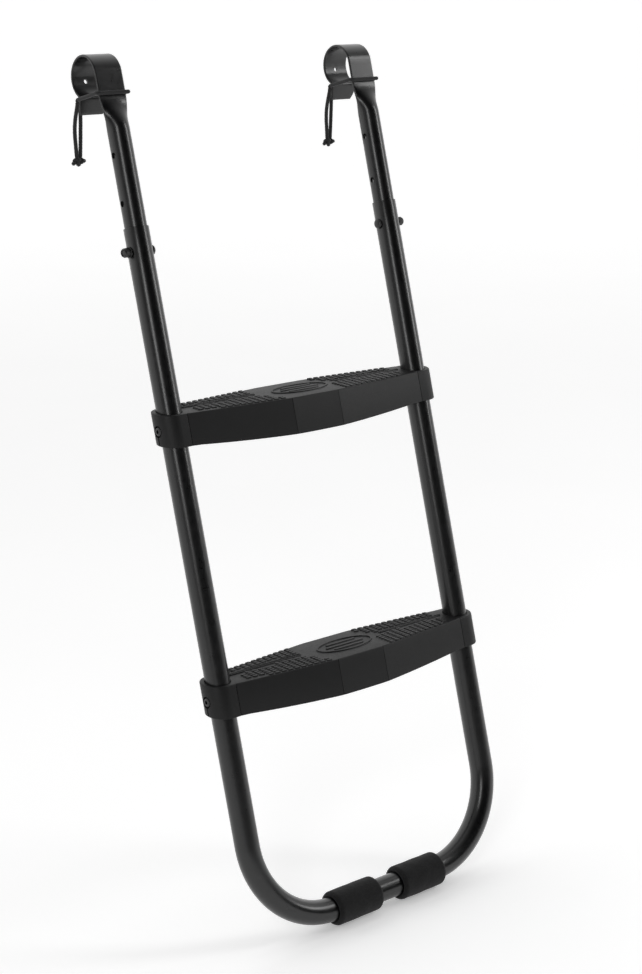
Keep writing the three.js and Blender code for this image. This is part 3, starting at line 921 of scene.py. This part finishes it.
BARS, BAR_HALF = [(-7.6, 22), (0, 28), (7.6, 22)], 1.7


def edge_y(x):
    """Half depth of the top at x."""
    share = (SLEEVE_END_X - abs(x)) / (SLEEVE_END_X - STEP_CREASE_X)
    return mix(SLEEVE, STEP_HALF_DEPTH, min(1, max(0, share)))


def inside_by(point, loop, margin):
    """Whether a point lies inside a convex loop by at least margin."""
    area = sum(a.x * b.y - b.x * a.y for a, b in zip(loop, loop[1:] + loop[:1]))
    sign = 1 if area > 0 else -1
    for a, b in zip(loop, loop[1:] + loop[:1]):
        along = (b - a).normalized()
        if sign * (along.x * (point.y - a.y) - along.y * (point.x - a.x)) < margin:
            return False
    return True


def studs(zone, edge):
    """Plans of a zone's raised studs, in rows along the step's outer edge."""
    tilt = edge * (STEP_HALF_DEPTH - SLEEVE) / (SLEEVE_END_X - STEP_CREASE_X)
    plans = []
    for row in range(STUD_ROWS):
        for column in range(-STUD_COLUMNS, STUD_COLUMNS + 1):
            x = column * STUD_PITCH[0]
            y = edge * (edge_y(x) - STUD_MARGIN - row * STUD_PITCH[1])
            slope = -tilt if x > 0 else tilt
            plan = [Vector((x + dx, y + dy + dx * slope)) for dx, dy in STUD]
            if all(inside_by(p, zone, 0) for p in plan):
                plans.append(plan)
    return plans


def step_top(shape, outline):
    """Relief on the step's top: zones of raised studs, long loops, and a plain oval grip."""
    holes = []
    rim_x = LEG_HOLE + 0.5
    for side in (-1, 1):
        rim = ellipse(side * HALF_SPACING, rim_x, rim_x / math.cos(LEAN))
        holes.append(shape.add([(p.x, p.y, STEP_TOP) for p in rim]))
    features = []
    for corners, edge in ZONES:
        for plan in studs([Vector(c) for c in corners], edge):
            base, top = raised(shape, plan, STEP_TOP, STUD_HEIGHT, STUD_SLOPE)
            shape.cap(top)
            features.append(base)
    for x0, x1, y, half in SLOTS:
        outside = stadium(x0, x1, y, half)
        inside = stadium(x0 + LOOP_WIDTH, x1 - LOOP_WIDTH, y, half - LOOP_WIDTH)
        features.append(raised_ring(shape, outside, inside, STEP_TOP, RELIEF, RELIEF_SLOPE))
    outside, inside = ellipse(OVAL_X, *OVAL_OUTSIDE), ellipse(OVAL_X, *OVAL_INSIDE)
    features.append(raised_ring(shape, outside, inside, STEP_TOP, RELIEF, RELIEF_SLOPE))
    for y, half_length in BARS:
        bar = stadium(OVAL_X - half_length, OVAL_X + half_length, y, BAR_HALF)
        base, top = raised(shape, bar, STEP_TOP, RELIEF, RELIEF_SLOPE)
        shape.cap(top)
        features.append(base)
    field(shape, outline, holes, features)
    return holes


def step_body():
    """The step before it is hollowed out, with walls upright; the shear comes afterwards."""
    levels = []
    lower_round = EDGE_ROUND * 0.7
    for t in arc(4, 0, math.pi / 2):
        levels.append((-1, lower_round * (1 - math.sin(t)), lower_round * (1 - math.cos(t))))
    for t in arc(5, 0, math.pi / 2):
        levels.append((1, EDGE_ROUND * (1 - math.cos(t)), EDGE_ROUND * (1 - math.sin(t))))
    shape = Shape()
    loops = []
    for end, inset, drop in levels:
        corner = 1 - inset / EDGE_ROUND
        loop = step_outline(inset, corner)
        if end > 0:
            loops.append(shape.add([(p.x, p.y, STEP_TOP - drop) for p in loop]))
        else:
            loops.append(shape.add([(p.x, p.y, bow(p.x) + drop) for p in loop]))
    for a, b in zip(loops, loops[1:]):
        shape.bridge(a, b)
    top_holes = step_top(shape, loops[-1])
    bottom_holes = []
    for side, last in zip((-1, 1), top_holes):
        widths = [(STEP_TOP - 0.5, 0), (-STEP_ENDS + 0.5, 0), (-STEP_ENDS, 0.5)]
        for z, out in widths:
            radius = LEG_HOLE + out
            rim = ellipse(side * HALF_SPACING, radius, radius / math.cos(LEAN))
            loop = shape.add([(p.x, p.y, z) for p in rim])
            shape.bridge(last, loop)
            last = loop
        bottom_holes.append(last)
    field(shape, loops[0], bottom_holes, [])
    return shape


def sheared(shape):
    """Walls that lean with the legs."""
    slope = math.tan(LEAN)
    shape.points = [(x, y + z * slope, z) for x, y, z in shape.points]
    return shape


def step_cutter():
    """Bays under the top, between the ribs."""
    shape = Shape()
    inner = HALF_SPACING - SLEEVE - 1
    below = -40
    edges = [-inner, *(i * STEP_CREASE_X for i in (-2, -1, 1, 2)), inner]
    for x0, x1 in zip(edges, edges[1:]):
        a = x0 if x0 == -inner else x0 + STEP_RIB / 2
        b = x1 if x1 == inner else x1 - STEP_RIB / 2
        for edge in (-1, 1):
            near = edge * STEP_RIB / 2
            plan = [
                (a, near), (b, near),
                (b, edge * (edge_y(b) - STEP_WALL)), (a, edge * (edge_y(a) - STEP_WALL)),
            ]
            low = [(x, y, below) for x, y in plan]
            high = [(x, y, STEP_TOP - STEP_WALL) for x, y in plan]
            shape.tube([low, high])
    return sheared(shape)


def recess_cutter():
    """Bolt recesses in the sleeves' outer sides, with a slit below each."""
    shape = Shape()
    slit_plan = [(-0.8, -4), (0.8, -4), (0.8, -30), (-0.8, -30)]
    for side in (-1, 1):
        outside = side * (HALF_SPACING + SLEEVE)
        loops = [
            round_loop(RECESS_MOUTH, outside + side * 2, 48),
            round_loop(RECESS_MOUTH, outside - side * 0.2, 48),
            round_loop(RECESS_RADIUS, outside - side * 0.9, 48),
            round_loop(RECESS_RADIUS, outside - side * RECESS_DEPTH, 48),
        ]
        shape.tube(loops)
        slope = math.tan(LEAN)
        slit = []
        for x in (outside - side * 2.2, outside + side * 3):
            slit.append([(x, y + z * slope, z) for y, z in slit_plan])
        shape.tube(slit)
    return shape


def cut(name, body, cutters, crease):
    """A shape less the cutters, as a mesh in millimetres."""
    data = body.mesh(name, Matrix.Identity(4), crease)
    piece = add_object(name, data)
    tools = []
    for index, cutter in enumerate(cutters):
        tool_data = cutter.mesh(f"{name}_tool_{index}", Matrix.Identity(4))
        tool = add_object(tool_data.name, tool_data)
        modifier = piece.modifiers.new("cut", "BOOLEAN")
        modifier.operation = "DIFFERENCE"
        modifier.solver = "EXACT"
        modifier.use_self = True
        modifier.object = tool
        tools.append(tool)
    graph = bpy.context.evaluated_depsgraph_get()
    made = bpy.data.meshes.new_from_object(piece.evaluated_get(graph), depsgraph=graph)
    bpy.data.objects.remove(piece)
    for tool in tools:
        bpy.data.objects.remove(tool)
    bm = bmesh.new()
    bm.from_mesh(made)
    bmesh.ops.remove_doubles(bm, verts=bm.verts, dist=1e-4)
    sharpen(bm, crease)
    bm.to_mesh(made)
    bm.free()
    made.name = name
    return made


step_mesh = cut("step", sheared(step_body()), [step_cutter(), recess_cutter()], crease=24)
for level, s in STEP_S.items():
    data = step_mesh.copy()
    data.name = f"{level}_tread"
    data.transform(level_at(s))
    place(f"{level}_tread", data, "black_plastic", "frame", f"{level}_step")

# ---- Fasteners, drawn about x = 0 with the head towards +x --------------------------------------


def turned(profile, cap_ends=True):
    """A profile of (radius, x) turned about x; a radius may be a hexagon's (flats, widest)."""
    count = 48
    loops = []
    for radius, x in profile:
        if isinstance(radius, tuple):
            loops.append(hexagon_loop(radius[0], x, count, radius[1]))
        else:
            loops.append(round_loop(radius, x, count))
    shape = Shape()
    shape.tube(loops, cap_ends)
    return shape


def dome(radius, seat, rim, height):
    """Profile of a low domed head, from its rim up to a small flat."""
    steps, flat = 7, 0.4
    turns = arc(steps, 0, math.pi / 2)
    around = [(radius * math.cos(a), seat + rim + (height - rim) * math.sin(a)) for a in turns]
    return [*around[:-1], (flat, around[-1][1])]


def step_bolt(seat, tip):
    """A socket-head bolt with its head on seat."""
    profile = [(2.4, tip), (2.9, tip + 0.6), (BOLT, tip + 0.8), (BOLT, seat)]
    profile += [(4.9, seat), (5.2, seat + 0.3), (5.2, seat + 1), (5.05, seat + 1.8)]
    profile += [(4.7, seat + 2.45), (4.1, seat + 2.9), (3.4, seat + 3.15)]
    profile += [((4.4, 9), seat + 3.2), ((4, 9), seat + 3.0), ((4, 9), seat + 1.0), (0.9, seat + 0.7)]
    return turned(profile)


def height_bolt(seat, tip):
    profile = [(BOLT, tip), (BOLT, seat), (5.5, seat), (5.8, seat + 0.25)]
    return turned(profile + dome(5.8, seat, 0.9, 4))


def washer(seat):
    profile = [
        (3.3, 0), (5.9, 0), (6.2, 0.25), (6.2, 1.05),
        (5.9, WASHER_THICK), (3.5, WASHER_THICK), (3.3, 1.1),
    ]
    return turned([(radius, seat + x) for radius, x in profile], cap_ends=False)


def lock_nut(seat, tip=None):
    """Hexagon with turned corners and a round collar. tip is where its stud ends, if it has one."""
    end, full = (10, 5.2), (10, 5.75)
    outside = [(end, seat), (full, seat + 0.35), (full, seat + 4.5), (end, seat + 4.95)]
    outside += [(4.75, seat + 5.05), (4.6, seat + 5.3), (4.5, seat + 6.5), (4.1, seat + 6.95)]
    outside += [(3.6, seat + NUT_HEIGHT)]
    if tip is None:
        return turned([(3.3, seat), *outside, (3.3, seat + 6.8)], cap_ends=False)
    inside = [(3.3, seat + 6.6), (3.1, seat + 5.9), (2.7, seat + 6.1), (2.3, seat + 6.3)]
    return turned([(BOLT, tip), (BOLT, seat), *outside, *inside])


HEAD_SEAT = SLEEVE - RECESS_DEPTH
NUT_SEAT = SLEEVE + 1 + GAP
for level, s in STEP_S.items():
    for hand, side in SIDES.items():
        matrix = leg_place(side, s)
        name = f"{level}_{hand}_socket_bolt"
        data = step_bolt(HEAD_SEAT + GAP, -NUT_SEAT - NUT_HEIGHT).mesh(name, matrix)
        place(name, data, "black_bolt", "frame", f"{level}_step_{hand}_bolt")
        name = f"{level}_{hand}_lock_nut"
        data = lock_nut(NUT_SEAT).mesh(name, matrix @ HALF_TURN)
        place(name, data, "zinc", "frame", f"{level}_step_{hand}_nut")

WALL_INSIDE = FRAME_TUBE - WALL
for hand, side in SIDES.items():
    matrix = leg_place(side, SETTING_BOLT)
    name = f"{hand}_setting_bolt"
    data = height_bolt(FRAME_TUBE + GAP, WALL_INSIDE).mesh(name, matrix @ HALF_TURN)
    place(name, data, "black_bolt", "frame", f"{hand}_height_bolt")
    name = f"{hand}_setting_washer"
    data = washer(FRAME_TUBE + GAP).mesh(name, matrix)
    place(name, data, "black_bolt", "frame", f"{hand}_height_washer")
    name = f"{hand}_setting_nut"
    data = lock_nut(FRAME_TUBE + WASHER_THICK + 2 * GAP, WALL_INSIDE).mesh(name, matrix)
    place(name, data, "black_bolt", "frame", f"{hand}_height_nut")

# ---- Foam sleeves -------------------------------------------------------------------------------


def foam_sleeve(name, matrix, seed):
    """A foam tube with soft round ends, a little uneven, as cut foam is."""
    radius, inner, outer, edge = FOAM["radius"], FOAM["inner"], FOAM["outer"], FOAM["edge"]
    bore = FRAME_TUBE + GAP
    profile = [(bore, inner + 2.2), (bore + 0.4, inner + 0.9), (bore + 1.2, inner + 0.15)]
    profile += [
        (radius - edge + edge * math.sin(a), inner + edge - edge * math.cos(a))
        for a in arc(10, 0.35, math.pi / 2)
    ]
    profile += [(radius, x) for x in arc(44, inner + edge, outer - edge)[1:-1]]
    profile += [
        (radius - edge + edge * math.cos(a), outer - edge + edge * math.sin(a))
        for a in arc(10, 0, math.pi / 2 - 0.35)
    ]
    profile += [(bore + 1.2, outer - 0.15), (bore + 0.4, outer - 0.9), (bore, outer - 2.2)]
    profile += [(bore, x) for x in arc(8, outer - 2.2, inner + 2.2)[1:-1]]
    loops = []
    for r, x in profile:
        loop = []
        for point in round_loop(r, x, 120):
            wobble = noise.noise(Vector(point) * 0.09 + Vector((seed, 0, 0))) * 0.35
            wobble += noise.noise(Vector(point) * 0.6 + Vector((seed, 0, 0))) * 0.1
            share = 1 + (wobble / r if r > bore + 1 else 0)
            loop.append((x, point[1] * share, point[2] * share))
        loops.append(loop)
    shape = Shape()
    shape.tube(loops, cap_ends=False)
    return shape.mesh(name, matrix, crease=60)


for hand, side in SIDES.items():
    name = f"{hand}_foam_grip"
    matrix = LEG @ Matrix.Translation((0, 0, FRAME_BOTTOM))
    if side < 0:
        matrix = matrix @ HALF_TURN
    data = foam_sleeve(name, matrix, 3 + side)
    foam = place(name, data, "black_foam", "frame", f"{hand}_foam_sleeve")

# ---- Floor and light ----------------------------------------------------------------------------

FLOOR_HALF, FLOOR_GAP = 60, 0.0005
floor_at = cad_box[0][2] - FLOOR_GAP
corners = [
    (x * FLOOR_HALF, y * FLOOR_HALF, floor_at) for x, y in ((-1, -1), (1, -1), (1, 1), (-1, 1))
]
floor_data = bpy.data.meshes.new("floor")
floor_data.from_pydata(corners, [], [(0, 1, 2, 3)])
floor = add_object("floor", floor_data)
pale = Nodes(
    "pale_floor", {"Roughness": 0.9, "Specular IOR Level": 0.1, "Emission Color": (1, 1, 1, 1)}
)
pale.vary("Base Color", pale.noise(3, 2), [(0.3, (0.9, 0.9, 0.9)), (0.7, (0.91, 0.91, 0.91))])
# The floor's own glow grows away from the ladder, past the softboxes' reach.
distance = pale.add("ShaderNodeVectorMath", operation="LENGTH")
pale.link(pale.coordinates, distance.inputs[0])
glow = pale.add("ShaderNodeMapRange", interpolation_type="SMOOTHSTEP")
for socket, value in {"From Min": 1.6, "From Max": 6.0, "To Min": 0.29, "To Max": 0.42}.items():
    glow.inputs[socket].default_value = value
pale.link(distance.outputs["Value"], glow.inputs["Value"])
pale.link(glow.outputs["Result"], pale.shader.inputs["Emission Strength"])
floor_data.materials.append(pale.material)

world = bpy.data.worlds.new("studio")
bpy.context.scene.world = world
world.use_nodes = True
tree = world.node_tree
coordinates = tree.nodes.new("ShaderNodeTexCoord")
facing = tree.nodes.new("ShaderNodeVectorMath")
facing.operation = "DOT_PRODUCT"
# Level directions towards the camera and to its right. The room's light is behind the ladder, and
# fades out towards the camera.
back = Vector((-0.648, -0.762, 0))
right = Vector((0.762, -0.648, 0))
turn = math.radians(150)
facing.inputs[1].default_value = back * math.cos(turn) - right * math.sin(turn)
ramp = tree.nodes.new("ShaderNodeMapRange")
ramp.interpolation_type = "SMOOTHSTEP"
for socket, value in {"From Min": -0.65, "From Max": 0.45, "To Min": 0.0, "To Max": 1.0}.items():
    ramp.inputs[socket].default_value = value
tree.links.new(coordinates.outputs["Generated"], facing.inputs[0])
tree.links.new(facing.outputs["Value"], ramp.inputs["Value"])
tree.links.new(ramp.outputs["Result"], tree.nodes["Background"].inputs["Color"])
tree.nodes["Background"].inputs["Strength"].default_value = 1.12


LIGHT_TARGET = (0, -0.15, -0.35)


def strip_light(name, turn, distance, low, size, radiance):
    """A tall softbox at an angle round from the camera's side, its lower edge at height low."""
    data = bpy.data.lights.new(name, "AREA")
    data.shape = "RECTANGLE"
    data.size, data.size_y = size
    data.energy = radiance * math.pi * size[0] * size[1]
    lamp = add_object(name, data)
    a = math.radians(turn)
    target = Vector(LIGHT_TARGET)
    lamp.location = target + (back * math.cos(a) + right * math.sin(a)) * distance
    lamp.location.z = low + size[1] / 2
    lamp.rotation_mode = "QUATERNION"
    level = Vector((target.x, target.y, lamp.location.z))
    lamp.rotation_quaternion = (level - lamp.location).to_track_quat("-Z", "Y")


strip_light("softbox_front", -12, 3.2, -0.05, (0.8, 2.2), 5.0)
strip_light("softbox_right", 97, 3.0, -0.05, (0.7, 2.2), 6.0)
